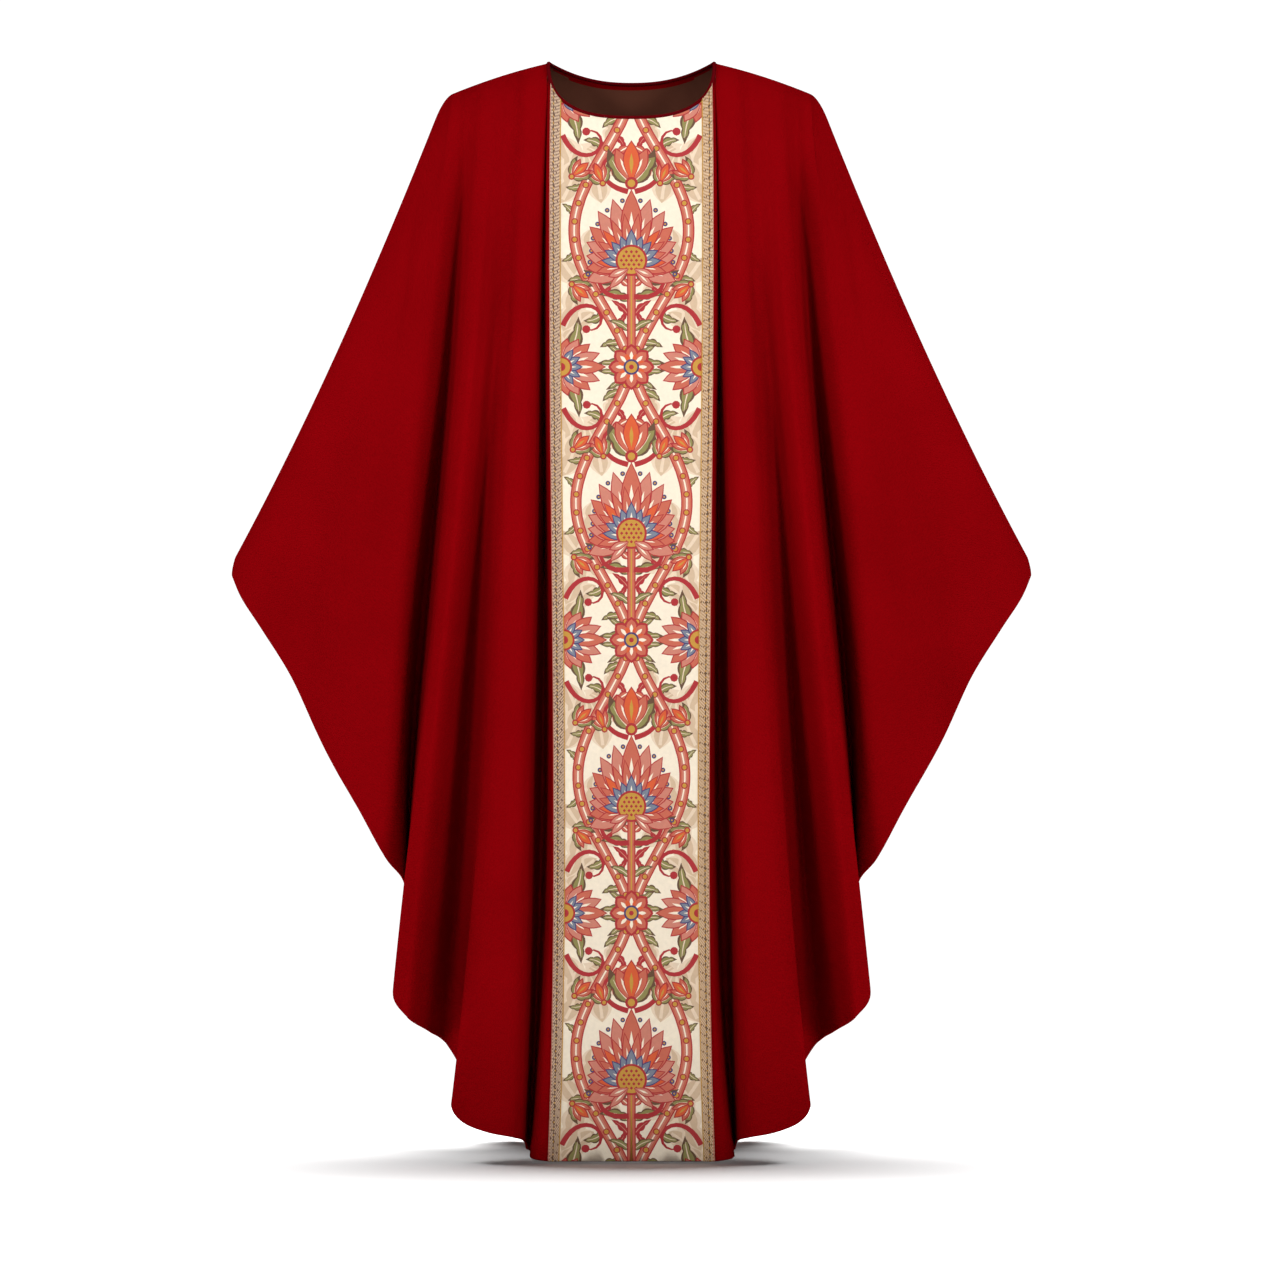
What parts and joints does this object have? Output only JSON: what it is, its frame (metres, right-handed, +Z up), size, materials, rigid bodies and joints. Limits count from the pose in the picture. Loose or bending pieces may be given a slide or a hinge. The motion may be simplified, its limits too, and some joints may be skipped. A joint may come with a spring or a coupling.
{
  "type": "gothic chasuble",
  "caption": "Wide, pointed-sleeve liturgical vestment filled out as worn, open at neck, hem and sides, with a brocade orphrey down the front.",
  "frame": {"origin": "middle of the neck opening, level with the tops of the shoulders beside the neck, where the wearer's shoulders carry the garment", "axes": "+Z up, the front with its orphrey faces -Y, +X to the right as seen from the front"},
  "size_m": [0.968, 0.3203, 1.3328],
  "materials": {
    "cloth": "matt plain-woven red wool blend with a soft nap",
    "brocade": "cream jacquard brocade figured in coral, deep red, olive, gold and indigo",
    "galloon": "narrow woven braid in dull gold and tan with a coral edge",
    "binding": "dark red bias binding"
  },
  "bodies": {
    "root": {"front": "cloth", "back": "cloth", "orphrey": "brocade", "galloon_left": "galloon", "galloon_right": "galloon", "neck_binding": "binding"}
  },
  "joints": []
}
